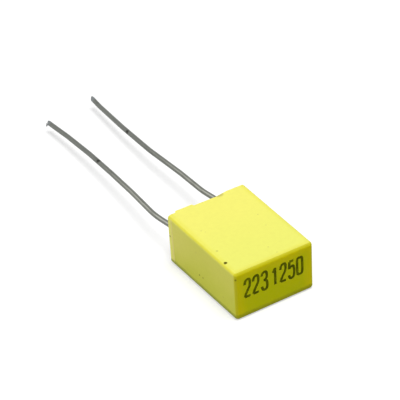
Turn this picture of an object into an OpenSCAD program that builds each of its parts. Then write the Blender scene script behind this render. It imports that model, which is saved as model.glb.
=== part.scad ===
// Box film capacitor with radial leads, for a 5 mm grid.
// A flattened roll of metallised film lies in a moulded case, sealed in with resin poured
// into the case's open end. A tinned wire is welded to each metal-sprayed end of the roll.
// It rests on a broad side, with its leads along +Y and its closed end towards -Y.
// The origin is midway between the leads, level with the tips of the stand-off feet.

/* [Case] */
// Width of the case at its rim, across the two leads
case_w = 7.2; // [6.6:0.1:8]
// Thickness of the case at its rim, between the broad sides
case_t = 4.5; // [3.8:0.1:6]
// Height of the case from its closed end to its rim
case_h = 9.3; // [8:0.1:12]
// Thickness of the side walls
wall = 0.45; // [0.3:0.05:0.6]
// Thickness of the closed end
end_wall = 0.5; // [0.3:0.05:0.8]
// Draft of each side, in degrees, which lets the case leave its mould
draft = 0.7; // [0.2:0.1:1.2]
// Radius of the outer edges
edge_r = 0.3; // [0.15:0.05:0.5]
// Radius of the inner edges
inner_r = 0.2; // [0.1:0.05:0.35]

/* [Stand-off feet] */
// Height of the feet above the rim
foot_h = 0.2; // [0.1:0.05:0.5]
// Length of a foot at its tip, along the broad side
foot_l = 1.5; // [0.8:0.1:2]
// Gap between the tips of the two feet of one broad side
foot_gap = 2.6; // [1.6:0.1:3]
// How far each end of a foot slopes out on its way down to the rim
foot_slope = 0.1; // [0.05:0.05:0.2]
// Where the upper right foot, which runs on to the corner, starts: from the case's middle
long_foot_x = 0.8; // [0.6:0.1:2]
// Length of the slope at the start of the upper right foot
long_foot_slope = 1.1; // [0.1:0.1:1.2]

/* [Resin] */
// Depth of the resin's surface below the rim
resin_drop = 0.25; // [0.15:0.05:0.6]
// Resin between its surface and the roll
resin_cover = 1.4; // [1.2:0.1:2]
// Height and width of the collar of resin that climbs each lead
collar = 0.15; // [0.08:0.01:0.25]
// Thickness of the collar at its upper edge
collar_edge = 0.03; // [0.02:0.01:0.05]

/* [Film roll] */
// Width of the film, between the two sprayed ends
film_w = 3.6; // [3:0.1:3.8]
// Thickness of the sprayed metal on each end of the roll
spray_t = 0.4; // [0.25:0.05:0.5]
// Resin between the roll and the broad sides, at the closed end
side_gap = 0.2; // [0.1:0.05:0.3]
// Resin between the roll and the closed end
end_gap = 0.4; // [0.2:0.05:0.8]

/* [Leads] */
// Distance between the two leads where they leave the case
pitch = 5; // [4.8:0.1:5.3]
// Diameter of the wire
lead_d = 0.45; // [0.4:0.05:0.5]
// Length of the left lead outside the case, along the wire
left_lead_l = 24.6; // [23:0.1:30]
// Length of the right lead outside the case, along the wire
right_lead_l = 26; // [24:0.1:30]
// Radius of the bends outside the case
bend_r = 10; // [6:0.5:14]
// Thickness of the wire where it is pressed flat on the sprayed end
flat_t = 0.2; // [0.15:0.01:0.25]
// Width of the wire where it is pressed flat
flat_w = 0.7; // [0.5:0.05:0.9]
// Length of the stretch that is pressed flat
flat_l = 4.6; // [3:0.1:5]
// Height of the flat stretch above the roll, which keeps the round wire off the sprayed end
flat_rise = 0.1; // [0.05:0.05:0.2]
// Length over which the wire swells from flat to round
swell_l = 0.35; // [0.2:0.05:0.5]
// Length of the straight between the two bends by which the wire steps out to the pitch
jog_l = 0.3; // [0.1:0.05:0.5]
// Depth below the rim from which each lead runs straight out
lead_drop = 0.08; // [0.02:0.02:0.1]
// How much the wire thins in a bend, which also lets each bend end inside a straight
bend_thin = 0.001; // [0.001:0.001:0.005]
// Length of the tip that the cutter has pinched
tip_l = 0.25; // [0.1:0.05:0.4]
// Width of the edge that the cutter leaves across the tip
tip_edge = 0.14; // [0.08:0.02:0.3]

/* [Hidden] */
$fn = 48;
// Each bend outside the case: the straight before it as a share of the lead's length, then its
// turn outwards and its turn down, in degrees. The last straight takes what is left.
left_turns = [
    [0.03, 5, 4], [0.05, -9.5, 0], [0.14, 1.5, 0], [0.16, 1, 0], [0.16, 2, 0], [0.16, 2, 0]
];
right_turns = [
    [0.03, -4, 4.5], [0.09, 6, -0.5], [0.12, -2, 0], [0.19, 2.5, -0.5], [0.19, 1.5, 0], [0.18, 0, -4]
];

// Heights along the leads' direction, down from the tips of the feet
rim_z = -foot_h;
resin_z = rim_z - resin_drop;
closed_z = rim_z - case_h;
floor_z = closed_z + end_wall;
roll_top_z = resin_z - resin_cover;
roll_bottom_z = floor_z + end_gap;
flat_top_z = roll_top_z + flat_rise;
jog_z = flat_top_z + swell_l;
lead_z = rim_z - lead_drop;

roll_h = roll_top_z - roll_bottom_z;
roll_t = 2 * (half_at(case_t, roll_bottom_z) - wall / cos(draft) - side_gap);

lead_r = lead_d / 2;
// The middle of the flat stretch, against the outer face of the sprayed end
flat_x = film_w / 2 + spray_t + flat_t / 2;
// The wire steps out from the flat to its place on the pitch by two opposite bends, with
// a straight between them
jog_h = lead_z - jog_z;
jog_x = pitch / 2 - flat_x;
jog_turn = 2 * atan(abs(jog_x) / (jog_h + jog_l));
jog_r = (jog_x * jog_x + jog_h * jog_h - jog_l * jog_l) / (4 * abs(jog_x));
// Length of each end of a bend that lies inside its straight
lap = 0.02;
// The swell is stretched from a slice of the flat wire, this thick
slice = 0.01;
// A step with smaller bends than this, in degrees, is left out
least_turn = 0.1;
// Sides of the rounded edges of the case and of its cavity, and of the swell's round end
case_sides = 32;
cavity_sides = 16;
swell_sides = 32;
// A cut runs this far past what it cuts
over = 1;

// Half of the size that a drafted pair of sides has at height z, from its size at the rim
function half_at(size, z) = size / 2 + (z - rim_z) * tan(draft);

// Angle of one bend, whichever way it turns
function turn_of(bend) = norm([bend[1], bend[2]]);

// Length of wire in the first n straights and bends
function used(turns, length, n) =
    n == 0 ? 0 : used(turns, length, n - 1) + turns[n - 1][0] * length
        + bend_r * turn_of(turns[n - 1]) * PI / 180;

// The parts are built with the leads along +Z, then laid on a drafted broad side
module lay_down() {
    rotate([draft - 90, 0, 0]) children();
}

// A drafted block whose sides stand in from the case's by inset, with a flat bottom and
// edges of radius r. Its spheres are widened so that their facets lie at r.
module drafted_block(inset, bottom, r, sides) {
    shift = (inset + r) / cos(draft);
    hull()
        for (z = [bottom + r, over], side_x = [-1, 1], side_y = [-1, 1])
            translate([
                side_x * (half_at(case_w, z) - shift),
                side_y * (half_at(case_t, z) - shift),
                z
            ])
                sphere(r = r / cos(180 / sides), $fn = sides);
}

module cavity() {
    drafted_block(wall, floor_z, inner_r, cavity_sides);
}

// The right-hand foot of a broad side
module foot_outline() {
    middle = (foot_gap + foot_l) / 2;
    tip = foot_l / 2;
    root = tip + foot_slope;
    translate([middle, 0])
        polygon([[-root, rim_z - over], [root, rim_z - over], [root, rim_z],
                 [tip, 0], [-tip, 0], [-root, rim_z]]);
}

// The upper right foot, with its long slope, past the case's corner
module long_foot_outline() {
    polygon([[long_foot_x, rim_z - over], [case_w, rim_z - over], [case_w, 0],
             [long_foot_x + long_foot_slope, 0], [long_foot_x, rim_z]]);
}

// A foot's outline, drawn out towards the upper broad side from y on
module foot_bar(y) {
    translate([0, y, 0])
        rotate([90, 0, 0])
            linear_extrude(2 * case_t)
                children();
}

// All that is cut away above the rim, to leave two feet on each broad side
module above_rim() {
    difference() {
        translate([-case_w, -case_t, rim_z])
            cube([2 * case_w, 2 * case_t, 3 * over]);
        mirror([1, 0, 0])
            foot_bar(case_t) foot_outline();
        foot_bar(2 * case_t) foot_outline();
        foot_bar(wall + inner_r - case_t / 2) long_foot_outline();
    }
}

module case() {
    color([0.96, 0.94, 0.36])
        lay_down()
            difference() {
                drafted_block(0, closed_z, edge_r, case_sides);
                cavity();
                above_rim();
            }
}

// A length of the flattened roll, across the leads, with its middle at the origin's x
module roll_slice(width) {
    translate([0, 0, (roll_top_z + roll_bottom_z) / 2])
        rotate([90, 0, 90])
            linear_extrude(width, center = true) {
                square([roll_t, roll_h - roll_t], center = true);
                for (end = [-1, 1])
                    translate([0, end * (roll_h - roll_t) / 2])
                        circle(d = roll_t);
            }
}

module film_roll() {
    color([0.80, 0.82, 0.84])
        lay_down()
            roll_slice(film_w);
}

module end_spray(side) {
    color([0.62, 0.62, 0.60])
        lay_down()
            translate([side * (film_w + spray_t) / 2, 0, 0])
                roll_slice(spray_t);
}

// Wire that turns from +Z towards +X, with the children set on its far end
module turned(turn, radius) {
    lap_turn = lap / radius * 180 / PI;
    translate([radius, 0, 0])
        rotate([90, 0, 180])
            rotate([0, 0, -lap_turn])
                rotate_extrude(angle = turn + 2 * lap_turn)
                    translate([radius, 0])
                        circle(r = lead_r - bend_thin);
    translate([radius * (1 - cos(turn)), 0, radius * sin(turn)])
        rotate([0, turn, 0])
            children();
}

// The stretch that is pressed flat and welded to the sprayed end, and its swell to round
module flat_stretch() {
    translate([-flat_t / 2, -flat_w / 2, flat_top_z - flat_l])
        cube([flat_t, flat_w, flat_l]);
    hull() {
        translate([-flat_t / 2, -flat_w / 2, flat_top_z - slice])
            cube([flat_t, flat_w, slice]);
        translate([0, 0, jog_z - 2 * lap])
            cylinder(h = 2 * lap, r = lead_r / cos(180 / swell_sides), $fn = swell_sides);
    }
}

// The two bends that step the wire out to the pitch, up to where it runs straight
module jog() {
    if (jog_turn < least_turn)
        cylinder(h = jog_h, r = lead_r);
    else
        rotate([0, 0, jog_x < 0 ? 180 : 0])
            turned(jog_turn, jog_r) {
                cylinder(h = jog_l, r = lead_r);
                translate([0, 0, jog_l])
                    rotate([0, 0, 180])
                        turned(jog_turn, jog_r);
            }
}

// The last straight, whose tip the cutter has pinched to a blunt edge
module snipped(length) {
    edge = tip_edge / 2;
    shoulder_z = length - tip_l * (lead_d - edge) / (lead_r - edge);
    intersection() {
        cylinder(h = length, r = lead_r);
        rotate([90, 0, 0])
            linear_extrude(2 * lead_d, center = true)
                polygon([[-lead_d, -over], [lead_d, -over], [lead_d, shoulder_z],
                         [edge, length], [-edge, length], [-lead_d, shoulder_z]]);
    }
}

// Wire outside the case, from straight i on to the tip
module run(turns, length, i = 0) {
    if (i == len(turns))
        snipped(length - used(turns, length, i));
    else {
        straight = turns[i][0] * length;
        roll = atan2(turns[i][2], turns[i][1]);
        cylinder(h = straight, r = lead_r);
        translate([0, 0, straight])
            rotate([0, 0, roll])
                turned(turn_of(turns[i]), bend_r)
                    rotate([0, 0, -roll])
                        run(turns, length, i + 1);
    }
}

// The right lead as it is built, and the left one before it is mirrored
module wire(turns, length) {
    translate([flat_x, 0, 0]) {
        flat_stretch();
        translate([0, 0, jog_z]) jog();
    }
    translate([pitch / 2, 0, lead_z])
        run(turns, length);
}

module left_wire() {
    mirror([1, 0, 0]) wire(left_turns, left_lead_l);
}

module right_wire() {
    wire(right_turns, right_lead_l);
}

module lead_left() {
    color([0.55, 0.55, 0.52]) lay_down() left_wire();
}

module lead_right() {
    color([0.55, 0.55, 0.52]) lay_down() right_wire();
}

module resin_fill() {
    color([0.85, 0.78, 0.35])
        lay_down()
            difference() {
                union() {
                    intersection() {
                        cavity();
                        translate([-case_w, -case_t, closed_z])
                            cube([2 * case_w, 2 * case_t, resin_z - closed_z]);
                    }
                    for (side = [-1, 1])
                        translate([side * pitch / 2, 0, resin_z])
                            cylinder(h = collar, r1 = lead_r + collar, r2 = lead_r + collar_edge);
                }
                roll_slice(film_w + 2 * spray_t);
                left_wire();
                right_wire();
            }
}

case();
resin_fill();
film_roll();
end_spray(-1);  // end_spray_left
end_spray(1);  // end_spray_right
lead_left();
lead_right();
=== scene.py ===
from math import pi, radians

import bmesh
import bpy
from mathutils import Matrix, Vector


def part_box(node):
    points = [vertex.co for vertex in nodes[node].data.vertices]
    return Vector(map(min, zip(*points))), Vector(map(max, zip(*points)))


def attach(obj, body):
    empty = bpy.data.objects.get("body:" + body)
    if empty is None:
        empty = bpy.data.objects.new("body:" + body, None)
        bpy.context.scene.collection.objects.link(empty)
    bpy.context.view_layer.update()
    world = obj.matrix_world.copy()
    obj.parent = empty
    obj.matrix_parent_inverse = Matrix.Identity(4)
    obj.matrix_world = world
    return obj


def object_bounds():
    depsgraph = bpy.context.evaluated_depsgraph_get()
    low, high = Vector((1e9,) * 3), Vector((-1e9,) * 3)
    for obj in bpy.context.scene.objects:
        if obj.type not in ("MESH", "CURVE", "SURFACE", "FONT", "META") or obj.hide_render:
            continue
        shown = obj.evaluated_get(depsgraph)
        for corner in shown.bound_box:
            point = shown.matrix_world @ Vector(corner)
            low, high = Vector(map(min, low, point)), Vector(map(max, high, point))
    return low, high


mm = 0.001

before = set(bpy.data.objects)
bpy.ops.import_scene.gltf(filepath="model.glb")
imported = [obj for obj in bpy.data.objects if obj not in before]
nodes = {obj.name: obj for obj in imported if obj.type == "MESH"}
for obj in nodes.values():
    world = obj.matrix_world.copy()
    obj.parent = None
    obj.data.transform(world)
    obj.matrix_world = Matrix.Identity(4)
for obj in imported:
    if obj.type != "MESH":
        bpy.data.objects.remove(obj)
cadLow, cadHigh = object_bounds()
print("frame loaded:", len(nodes), "nodes")


view = {
    "place": (-45, -79.6, 62.1),        # mm, from the middle between the leads
    "aim": (1.23, 3.115, 0),
    "roll": -4.41,                      # degrees
    "lens": 126,
    "sensor": 36,
    "near": 10,                         # nothing nearer is seen
    "far": 5000,
}


def addObject(name, data):
    made = bpy.data.objects.new(name, data)
    bpy.context.scene.collection.objects.link(made)
    return made


def looking(place, aim):                # stands at place and faces aim
    turn = (aim - place).to_track_quat("-Z", "Y").to_matrix().to_4x4()
    return Matrix.Translation(place) @ turn


def addCamera():
    data = bpy.data.cameras.new("camera")
    data.lens = view["lens"]
    data.sensor_width = view["sensor"]
    data.clip_start = view["near"] * mm
    data.clip_end = view["far"] * mm
    camera = addObject("camera", data)
    stand = looking(Vector(view["place"]) * mm, Vector(view["aim"]) * mm)
    camera.matrix_world = stand @ Matrix.Rotation(radians(view["roll"]), 4, "Z")
    bpy.context.scene.camera = camera


addCamera()
print("camera placed")


class Sock:                             # an output socket that can stand in a sum
    def __init__(self, tree, socket=None):
        self.tree = tree
        self.socket = socket

    def node(self, kind, settings=None, inputs=None, out=0):
        made = self.tree.nodes.new(kind)
        for name, value in (settings or {}).items():
            setattr(made, name, value)
        for name, value in (inputs or {}).items():
            if isinstance(value, Sock):
                self.tree.links.new(value.socket, made.inputs[name])
            else:
                made.inputs[name].default_value = value
        return Sock(self.tree, made.outputs[out])

    def maths(self, operation, *values):
        return self.node("ShaderNodeMath", {"operation": operation}, dict(enumerate(values)))

    def __add__(self, other):
        return self.maths("ADD", self, other)

    __radd__ = __add__

    def __sub__(self, other):
        return self.maths("SUBTRACT", self, other)

    def __rsub__(self, other):
        return self.maths("SUBTRACT", other, self)

    def __mul__(self, other):
        return self.maths("MULTIPLY", self, other)

    __rmul__ = __mul__

    def __neg__(self):
        return self * -1

    def __abs__(self):
        return self.maths("ABSOLUTE", self)

    def most(self, other):
        return self.maths("MAXIMUM", self, other)

    def step(self, low, high):          # 0 below low, 1 above high, smooth between
        return self.node("ShaderNodeMapRange", {"interpolation_type": "SMOOTHSTEP"},
                         {"Value": self, "From Min": low, "From Max": high})

    # from the first colour to the second as this goes from 0 to 1; a Mix node takes
    # colours at its inputs 6 and 7 and gives one at its output 2
    def mix(self, first, second):
        pair = {key: (*c, 1) if isinstance(c, tuple) else c for key, c in ((6, first), (7, second))}
        return self.node("ShaderNodeMix", {"data_type": "RGBA"}, {0: self, **pair}, out=2)

    def bump(self, depth, strength):    # depth in mm
        return self.node("ShaderNodeBump", None,
                         {"Height": self, "Distance": depth * mm, "Strength": strength})


spotCore = 0.4                          # the share of a round mark's radius that is solid


class Finish:                           # a new material, with what its sums start from
    def __init__(self, name):
        self.material = bpy.data.materials.new(name)
        self.material.use_nodes = True
        self.tree = self.material.node_tree
        self.surface = self.tree.nodes["Principled BSDF"]
        self.start = Sock(self.tree)
        self.place = self.start.node("ShaderNodeTexCoord", out="Object")

    def along(self, axis):              # a coordinate, in mm
        return self.start.node("ShaderNodeSeparateXYZ", None, {0: self.place}, out=axis) * (1 / mm)

    def facing(self, axis):             # how far the surface faces along an axis, -1 to 1
        normal = self.start.node("ShaderNodeTexCoord", out="Normal")
        return self.start.node("ShaderNodeSeparateXYZ", None, {0: normal}, out=axis)

    def spread(self, size, stretch):    # places for a pattern whose unit is size mm
        scale = tuple(1 / (size * mm * s) for s in stretch)
        return self.start.node("ShaderNodeMapping", None, {"Vector": self.place, "Scale": scale})

    def noise(self, size, detail, rough=0.5, stretch=(1, 1, 1)):
        return self.start.node("ShaderNodeTexNoise", None, {
            "Vector": self.spread(size, stretch), "Scale": 1.0, "Detail": detail, "Roughness": rough})

    def cells(self, size):
        return self.start.node("ShaderNodeTexVoronoi", None, {
            "Vector": self.spread(size, (1, 1, 1)), "Scale": 1.0})

    def spot(self, centre, radius):     # in mm: 1 at the centre, fading to 0 at the radius
        gap = self.start.node("ShaderNodeVectorMath", {"operation": "DISTANCE"},
                              {0: self.place, 1: Vector(centre) * mm}, out="Value")
        return 1 - gap.step(radius * spotCore * mm, radius * mm)

    def put(self, **sockets):
        for name, value in sockets.items():
            socket = self.surface.inputs[name.replace("_", " ")]
            if isinstance(value, Sock):
                self.tree.links.new(value.socket, socket)
            else:
                socket.default_value = value
        return self.material


def dress(name, material):              # a finish for a piece that the frame brings
    slots = nodes[name].data.materials
    for i in range(len(slots)):
        slots[i] = material


caseLook = {                            # reaches are in mm: none of it here, all of it there
    "cloudSize": 2.4,                   # mm, of the soft patches
    "mottleSize": 0.35,
    "grainSize": 0.05,
    "broad": (0.875, 0.88, 0.18),       # broad sides: the lit colour, paler with a painted sheen
    "broadWarm": (0.94, 0.895, 0.19),   # the same towards the open end
    "warmReach": (-7.5, 1.5),           # along the case
    "short": (0.72, 0.74, 0.09),        # short sides, low down: painted shade
    "shortSheen": (0.87, 0.835, 0.175),  # short sides, high up and near the rim: paler, a painted reflection
    "sheenReach": (-0.6, 2.6),           # upwards
    "paleReach": (-5.0, -1.0),          # along the case
    "rimBand": (0.98, 0.96, 0.22),      # a painted highlight in a band on the short sides along the rim
    "rim": -0.2,                        # mm, where the rim lies along the case
    "rimBandWidth": 0.55,               # mm
    "pink": (0.95, 0.76, 0.36),         # the line that ends that band
    "end": (0.61, 0.65, 0.0),           # closed end: painted shade, darker than the other sides
    "endGold": (0.77, 0.69, 0.0),       # closed end, near its top and both its ends
    "endHalf": (3.49, 2.14),            # mm, half its width and thickness
    "endDrop": 0.115,                   # mm, its middle lies this low, because the case tilts
    "goldReach": (-1.2, -0.25),         # outwards from its border
    "edge": (0.84, 0.79, 0.07),         # rounded edges: painted light and shade, between the top's colour and the sides'
    "edgeEnd": (0.66, 0.61, 0.01),      # those round the closed end: painted shade, darker
    "edgeAt": (3.55, 9.5),              # mm, how far out the broad sides' edges lie
    "edgeReach": (-0.6, -0.15),         # outwards from them
    "contactShadow": (0.36, 0.40, 0.06),        # painted contact shadow along the lowest edges
    "contactShadowEnd": (0.42, 0.43, 0.01),
    "contactShadowReach": (0.32, 0.62),         # mm above the floor: solid to here, gone by here
    "roughness": 0.5,
    "shine": 0.03,                      # the plastic is nearly matt
    "tan": (0.6, 0.55, 0.1),            # a faint mottle all over
    "speckColour": (0.07, 0.06, 0.0),
    "specks": [                         # centre in mm, radius in mm, strength
        ((-3.20, -7.90, 2.06), 0.18, 1.0),
        ((-3.54, -4.46, -0.93), 0.10, 0.7),
        ((-3.54, -4.96, -0.91), 0.09, 0.6),
        ((-2.93, -6.30, 2.10), 0.13, 0.25),
        ((-3.41, -9.50, 1.48), 0.14, 0.7),
        ((-3.45, -9.49, 1.10), 0.09, 0.5),
        ((-3.46, -9.48, 0.45), 0.10, 0.35),
    ],
    "brownPatchColour": (0.36, 0.29, 0.10),
    "brownPatches": [                         # as the specks
        ((1.15, -0.10, 2.26), 0.50, 0.55),
        ((-3.60, -0.33, 0.40), 0.14, 0.7),
    ],
}


def shortSides(y, z, cloud):            # their colour: painted shade low down, a painted reflection high up, and a painted highlight in a band along the rim
    look = caseLook
    pale = y.step(*look["paleReach"])
    # painted reflection: the short sides paler high up
    sheen = (z + cloud * 2 + pale * 1.1).step(*look["sheenReach"]) * (pale * 0.35 + 0.65)
    bandEnd = look["rim"] - look["rimBandWidth"]
    # a painted highlight along the rim
    band = y.step(bandEnd - 0.05, bandEnd + 0.05)
    line = band * (1 - y.step(bandEnd + 0.05, bandEnd + 0.2))
    colour = band.mix(sheen.mix(look["short"], look["shortSheen"]), look["rimBand"])
    return (line * 0.6).mix(colour, look["pink"])


def closedEnd(x, z, cloud):             # its colour, in painted shade, golden towards its top and both its ends
    look = caseLook
    wide, thick = look["endHalf"]
    border = (abs(x) - wide).most(z + look["endDrop"] - thick).step(*look["goldReach"])
    return (border * 0.8 + (cloud - 0.4) * 0.9).mix(look["end"], look["endGold"])


def caseFinish():
    look = caseLook
    f = Finish("yellowMoulding")
    x, y, z = (f.along(a) for a in "XYZ")
    nx, ny, nz = (f.facing(a) for a in "XYZ")
    cloud = f.noise(look["cloudSize"], detail=3)
    mottle = f.noise(look["mottleSize"], detail=3, rough=0.6)

    # each side in its own colour: painted light and shade, the top lit and the sides and closed end in
    # shade
    colour = (y + cloud * 3).step(*look["warmReach"]).mix(look["broad"], look["broadWarm"])
    colour = abs(nx).step(0.6, 0.98).mix(colour, shortSides(y, z, cloud))
    colour = (-ny).step(0.6, 0.98).mix(colour, closedEnd(x, z, cloud))

    # the rounded edges in painted light and shade, and a soft border of painted shade on the broad sides
    # beside them
    turned = 1 - abs(nx).most(abs(ny)).most(abs(nz)).step(0.8, 0.995)
    level = abs(nz).step(0.9, 1.0)
    wide, long = look["edgeAt"]
    beside = (abs(x) - wide).most(-y - long).step(*look["edgeReach"]) * level
    edge = (-ny).step(0.1, 0.5).mix(look["edge"], look["edgeEnd"])
    colour = (turned * 0.9).most(beside * 0.5).mix(colour, edge)

    # a painted contact shadow along the foot
    solid, gone = (cadLow.z / mm + reach for reach in look["contactShadowReach"])
    contactShadow = (1 - (z + (mottle - 0.5) * 0.2).step(solid, gone)) * (1 - level)
    colour = (contactShadow * 0.9).mix(colour, (-ny).step(0.4, 0.8).mix(look["contactShadow"], look["contactShadowEnd"]))

    # darker brown patches, specks and scattered pinholes
    for centre, radius, strength in look["brownPatches"]:
        brownPatch = f.spot(centre, radius) * mottle.step(0.25, 0.5) * strength
        colour = brownPatch.mix(colour, look["brownPatchColour"])
    for centre, radius, strength in look["specks"]:
        colour = (f.spot(centre, radius) * strength).mix(colour, look["speckColour"])
    pits = 1 - f.cells(0.9).step(0.05, 0.09)
    colour = (pits * cloud.step(0.5, 0.6) * 0.25).mix(colour, look["brownPatchColour"])
    colour = (mottle.step(0.35, 0.7) * 0.06).mix(colour, look["tan"])

    grain = f.noise(look["grainSize"], detail=2)
    height = grain * 0.35 + mottle * 0.65 - pits * 0.4
    return f.put(Base_Color=colour, Roughness=look["roughness"] + (mottle - 0.5) * 0.15,
                 Normal=height.bump(0.02, 0.4), Specular_IOR_Level=look["shine"])


resinLook = {
    "flowSize": 1.2,                    # mm
    "pitSize": 0.8,                     # mm from one small burst bubble to the next
    "colour": (0.74, 0.64, 0.24),
    "dark": (0.60, 0.49, 0.15),
    "pit": (0.35, 0.27, 0.08),
    "roughness": 0.3,
}


def resinFinish():
    look = resinLook
    f = Finish("pottingResin")
    flow = f.noise(look["flowSize"], detail=3)
    pits = 1 - f.cells(look["pitSize"]).step(0.06, 0.13)
    colour = flow.step(0.35, 0.7).mix(look["colour"], look["dark"])
    colour = (pits * 0.6).mix(colour, look["pit"])
    normal = (flow * 0.7 - pits * 0.3).bump(0.08, 0.6)
    return f.put(Base_Color=colour, Roughness=look["roughness"] + flow * 0.1, Normal=normal)


leadLook = {
    "drawnSize": 0.08,                  # mm, of the lines that drawing left, 25 times as long
    "patchSize": 0.6,                   # mm, of the tarnish
    "far": (0.150, 0.157, 0.142),       # towards the tips, tarnished
    "near": (0.165, 0.17, 0.145),       # towards the case
    "nearReach": (2, 17),               # mm: all of it before this, none past that
    "stripeHighlight": (0.42, 0.425, 0.375),     # a painted highlight in a stripe along the upper left
    "bright": (0.34, 0.345, 0.32),      # the whole right flank, paler: painted reflection
    "dirt": (0.02, 0.02, 0.014),
    "snipped": (0.21, 0.225, 0.23),     # at the tips
    "snippedLength": {"left": 0.5, "right": 0.65},      # mm
    "snippedBlend": 0.2,                # mm, to each side of where that ends
    "roughness": 0.38,
    "nicks": [                          # centre in mm, radius in mm
        ((-2.13, 14.40, -0.54), 0.30),
        ((2.39, 17.55, -0.82), 0.30),
    ],
}


def leadFinish(side):
    look = leadLook
    f = Finish("tinnedWire" + side.title())
    y = f.along("Y")
    nx = f.facing("X")
    drawn = f.noise(look["drawnSize"], detail=3, stretch=(1, 25, 1))
    patches = f.noise(look["patchSize"], detail=4, rough=0.6, stretch=(1, 3, 1))
    near = 1 - y.step(*look["nearReach"])
    stripe = 1 - abs(nx + 0.55 + (drawn - 0.5) * 0.3).step(0.08, 0.34)
    colour = near.mix(look["far"], look["near"])
    # painted reflection on the right flank
    colour = (nx + (drawn - 0.5) * 0.2).step(0.1, 0.6).mix(colour, look["bright"])
    # a painted highlight in a stripe along the upper left
    colour = (stripe * (0.12 + near * 0.88) * patches.step(0.25, 0.5)).mix(colour, look["stripeHighlight"])
    colour = (patches.step(0.55, 0.75) * 0.3).mix(colour, look["dirt"])
    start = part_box("lead_" + side)[1].y / mm - look["snippedLength"][side]
    snipped = y.step(start - look["snippedBlend"], start + look["snippedBlend"])
    colour = snipped.mix(colour, look["snipped"])
    for centre, radius in look["nicks"]:
        colour = (f.spot(centre, radius) * 0.9).mix(colour, look["dirt"])
    return f.put(Base_Color=colour, Roughness=look["roughness"] + (patches - 0.5) * 0.2,
                 Metallic=1.0, Normal=drawn.bump(0.008, 0.5))


tipBurr = {
    "tipLength": 0.25,                  # mm, the end of the wire that the cutter has pinched
    "start": (0.08, -0.10, 0.10),       # mm, from the middle of that end
    "heading": (-1.0, 0.35, 0.25),
    "towards": (-0.2, 0.0, -1.0),       # the way it curls
    "thick": 0.25,                      # mm
    "length": 0.60,
    "curl": 120,                        # degrees
    "sides": 12,
    "steps": 8,
    "taper": 0.93,                      # from one step to the next
    "colour": (0.34, 0.35, 0.355),
    "shade": (0.20, 0.205, 0.20),
    "tornSize": 0.05,                   # mm
    "roughness": 0.35,
}


def burrFinish():
    f = Finish("snippedEdge")
    torn = f.noise(tipBurr["tornSize"], detail=3, rough=0.6)
    colour = torn.step(0.35, 0.65).mix(tipBurr["colour"], tipBurr["shade"])
    return f.put(Base_Color=colour, Roughness=tipBurr["roughness"] + torn * 0.1, Metallic=1.0,
                 Normal=torn.bump(0.01, 0.6))


def addTipBurr():                       # the lip that the cutter left on the left wire
    look = tipBurr
    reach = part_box("lead_left")[1].y - look["tipLength"] * mm
    tip = [v.co for v in nodes["lead_left"].data.vertices if v.co.y > reach]
    place = sum(tip, Vector()) / len(tip) + Vector(look["start"]) * mm
    heading = Vector(look["heading"]).normalized()
    axis = heading.cross(Vector(look["towards"])).normalized()
    turn = Matrix.Rotation(radians(look["curl"] / look["steps"]), 3, axis)

    shape = bmesh.new()
    stand = Matrix.Translation(place) @ heading.to_track_quat("Z", "Y").to_matrix().to_4x4()
    bmesh.ops.create_circle(shape, cap_ends=True, segments=look["sides"],
                            radius=look["thick"] / 2 * mm, matrix=stand)
    shape.faces.ensure_lookup_table()
    end = shape.faces[0]
    for _ in range(look["steps"]):
        made = bmesh.ops.extrude_face_region(shape, geom=[end])["geom"]
        end = [part for part in made if isinstance(part, bmesh.types.BMFace)][0]
        move = heading * look["length"] / look["steps"] * mm
        place = place + move
        bmesh.ops.translate(shape, verts=end.verts, vec=move)
        bmesh.ops.rotate(shape, verts=end.verts, cent=place, matrix=turn)
        bmesh.ops.scale(shape, verts=end.verts, vec=(look["taper"],) * 3,
                        space=Matrix.Translation(-place))
        heading = turn @ heading
    bmesh.ops.recalc_face_normals(shape, faces=shape.faces)
    for face in shape.faces:
        face.smooth = True
    mesh = bpy.data.meshes.new("tip_burr")
    shape.to_mesh(mesh)
    shape.free()
    mesh.materials.append(burrFinish())
    burr = addObject("tip_burr", mesh)
    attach(burr, "root")


filmLook = {                            # the roll, sealed in
    "colour": (0.72, 0.74, 0.77),
    "shade": (0.50, 0.52, 0.56),
    "turnSize": 0.03,                   # mm, 60 times as long and as wide
    "roughness": 0.25,
    "metal": 0.6,
}


def filmFinish():
    look = filmLook
    f = Finish("woundFilm")
    turns = f.noise(look["turnSize"], detail=1, stretch=(60, 60, 1))
    colour = turns.step(0.3, 0.7).mix(look["colour"], look["shade"])
    return f.put(Base_Color=colour, Roughness=look["roughness"], Metallic=look["metal"],
                 Normal=turns.bump(0.01, 0.4))


sprayLook = {                           # the metal on the roll's ends
    "colour": (0.58, 0.58, 0.56),
    "shade": (0.36, 0.36, 0.35),
    "grainSize": 0.09,                  # mm
    "roughness": 0.75,
    "metal": 0.8,
}


def sprayFinish():
    look = sprayLook
    f = Finish("sprayedMetal")
    grains = f.cells(look["grainSize"])
    colour = grains.step(0.1, 0.7).mix(look["colour"], look["shade"])
    return f.put(Base_Color=colour, Roughness=look["roughness"], Metallic=look["metal"],
                 Normal=grains.bump(0.05, 0.8))


dress("case", caseFinish())
dress("resin_fill", resinFinish())
dress("film_roll", filmFinish())
metalFinish = sprayFinish()
for side in ("left", "right"):
    dress("lead_" + side, leadFinish(side))
    dress("end_spray_" + side, metalFinish)
addTipBurr()
print("pieces dressed")


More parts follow.
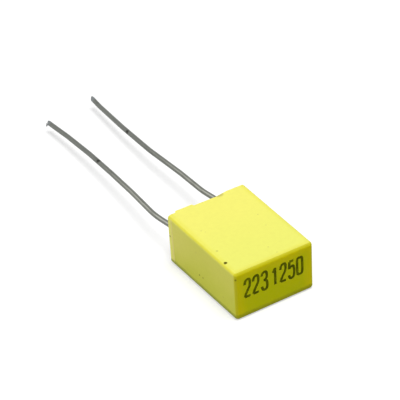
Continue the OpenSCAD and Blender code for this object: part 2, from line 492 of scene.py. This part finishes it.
marking = {
    "number": "223 1250",
    "height": 1.50,                     # mm, along the middle of the stroke
    "width": 0.46,
    "pitch": 0.745,
    "gap": 0.18,                        # between the two groups
    "middle": (-0.10, 0.40),            # mm, across and up on the closed end
    "stroke": 0.225,
    "raised": 0.004,                    # how thick the ink lies
    "order": 3,                         # how smoothly a stroke bends between its points
    "steps": 6,                         # from one point to the next
    "merge": 0.0001,                    # mm, points closer than this become one
    "wornSize": 0.10,                   # mm, of the gaps in the ink
    "thinSize": 0.45,
    "colour": (0.100, 0.118, 0.0),
    "faded": (0.20, 0.22, 0.0),         # where it is thin
    "roughness": 0.6,
    "shine": 0.03,
    "ring": "0",                        # the digit whose stroke runs round
    "strokes": {                        # in a cell one wide and one high
        "0": [[(.5, 1), (1, 1), (1, .5), (1, 0), (.5, 0), (0, 0), (0, .5), (0, 1)]],
        "1": [[(.1, .76), (.35, .84), (.58, 1)], [(.58, 1), (.58, 0)]],
        "2": [[(0, .74), (.02, 1), (.98, 1.06), (1, .62), (.6, .42), (.05, .12), (0, 0)], [(0, 0), (1, 0)]],
        "3": [[(0, .82), (.1, 1.03), (1, 1.05), (1, .56), (.35, .54)],
              [(.35, .54), (1.02, .56), (1.05, -.03), (.1, -.05), (0, .2)]],
        "5": [[(.92, 1), (.12, 1)], [(.12, 1), (.06, .56)],
              [(.06, .56), (.3, .68), (1.03, .7), (1.03, -.03), (.1, -.05), (0, .18)]],
    },
}


def inkFinish():
    f = Finish("printedInk")
    worn = f.noise(marking["wornSize"], detail=3, rough=0.7)
    thin = f.noise(marking["thinSize"], detail=2)
    colour = thin.step(0.35, 0.75).mix(marking["colour"], marking["faded"])
    return f.put(Base_Color=colour, Roughness=marking["roughness"] + thin * 0.1,
                 Specular_IOR_Level=marking["shine"], Alpha=worn.step(0.24, 0.40) * 0.95,
                 Normal=worn.bump(marking["raised"], 0.3))


def drawStroke(curve, points, left, ring):
    spline = curve.splines.new("NURBS")
    spline.points.add(len(points) - 1)
    for point, (across, up) in zip(spline.points, points):
        point.co = (left + across * marking["width"], up * marking["height"], 0, 1)
    spline.order_u = min(len(points), marking["order"])
    spline.use_cyclic_u = ring
    spline.use_endpoint_u = not ring
    spline.resolution_u = marking["steps"]


def strokeMesh():                       # the whole number as round strokes, in mm
    curve = bpy.data.curves.new("markingStrokes", "CURVE")
    curve.dimensions = "3D"
    curve.bevel_depth = marking["stroke"] / 2
    curve.bevel_resolution = 1
    curve.use_fill_caps = True
    left = 0
    for digit in marking["number"]:
        if digit == " ":
            left += marking["gap"]
            continue
        for points in marking["strokes"][digit]:
            drawStroke(curve, points, left, ring=digit == marking["ring"])
        left += marking["pitch"]
    source = addObject("markingStrokes", curve)
    bpy.context.view_layer.update()
    settled = source.evaluated_get(bpy.context.evaluated_depsgraph_get())
    mesh = bpy.data.meshes.new_from_object(settled)
    bpy.data.objects.remove(source)
    return mesh, left - marking["pitch"] + marking["width"]


def addMarking():
    mesh, wide = strokeMesh()
    across, up = marking["middle"]
    ahead = Vector((across * mm, -1, up * mm))      # well in front of the closed end
    spot, outwards = nodes["case"].ray_cast(ahead, Vector((0, 1, 0)))[1:3]
    face = Matrix.Translation(spot) @ outwards.to_track_quat("Z", "Y").to_matrix().to_4x4()
    flatten = 2 * marking["raised"] / marking["stroke"]

    shape = bmesh.new()
    shape.from_mesh(mesh)
    bmesh.ops.remove_doubles(shape, verts=shape.verts, dist=marking["merge"])
    bmesh.ops.translate(shape, verts=shape.verts, vec=(-wide / 2, -marking["height"] / 2, 0))
    bmesh.ops.scale(shape, verts=shape.verts, vec=(mm, mm, mm * flatten))
    bmesh.ops.transform(shape, verts=shape.verts, matrix=face)
    bmesh.ops.recalc_face_normals(shape, faces=shape.faces)
    shape.to_mesh(mesh)
    shape.free()
    mesh.materials.clear()
    mesh.materials.append(inkFinish())
    piece = addObject("marking", mesh)
    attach(piece, "root")


addMarking()
print("marking printed")


studio = {
    "floorSize": 1.5,                   # m
    "floor": (0.58, 0.58, 0.58),
    "lift": 0.525,                      # what the camera sees over the floor's own light
    "world": 0.12,                      # the light from all round
    "lamps": {                          # name: place in m, size in m, level; each faces the middle
        "overhead": ((0.035, -0.097, 0.5), 0.31, 7.70),
        "leftSide": ((-0.5, 0.1, 0.25), 0.5, 1.34),
    },
}


def seen(start):                        # 1 for what the camera sees, straight or mirrored
    kinds = ("Camera", "Glossy", "Transmission")
    camera, mirrored, through = (start.node("ShaderNodeLightPath", out="Is %s Ray" % k) for k in kinds)
    return camera.most(mirrored).most(through)


def addFloor():
    shape = bmesh.new()
    bmesh.ops.create_grid(shape, x_segments=1, y_segments=1, size=studio["floorSize"] / 2)
    bmesh.ops.translate(shape, verts=shape.verts, vec=(0, 0, cadLow.z))
    mesh = bpy.data.meshes.new("floor")
    shape.to_mesh(mesh)
    shape.free()
    floor = addObject("floor", mesh)

    f = Finish("paleFloor")
    glow = f.start.node("ShaderNodeEmission", None,
                        {"Color": (1, 1, 1, 1), "Strength": seen(f.start) * studio["lift"]})
    matte = f.start.node("ShaderNodeBsdfDiffuse", None, {"Color": (*studio["floor"], 1)})
    both = f.start.node("ShaderNodeAddShader", None, {0: matte, 1: glow})
    f.tree.links.new(both.socket, f.tree.nodes["Material Output"].inputs["Surface"])
    mesh.materials.append(f.material)


def addLamps():
    for name, (place, size, level) in studio["lamps"].items():
        data = bpy.data.lights.new(name, "AREA")
        data.size = size
        data.energy = level * pi * size * size
        addObject(name, data).matrix_world = looking(Vector(place), Vector((0, 0, 0)))


def addWorld():
    world = bpy.data.worlds.new("studio")
    world.use_nodes = True
    bpy.context.scene.world = world
    start = Sock(world.node_tree)
    strength = studio["world"] + seen(start) * (1 - studio["world"])
    sky = world.node_tree.nodes["Background"]
    sky.inputs["Color"].default_value = (1, 1, 1, 1)
    world.node_tree.links.new(strength.socket, sky.inputs["Strength"])


addFloor()
addLamps()
addWorld()
bpy.context.scene.view_settings.view_transform = "Standard"
print("studio lit")
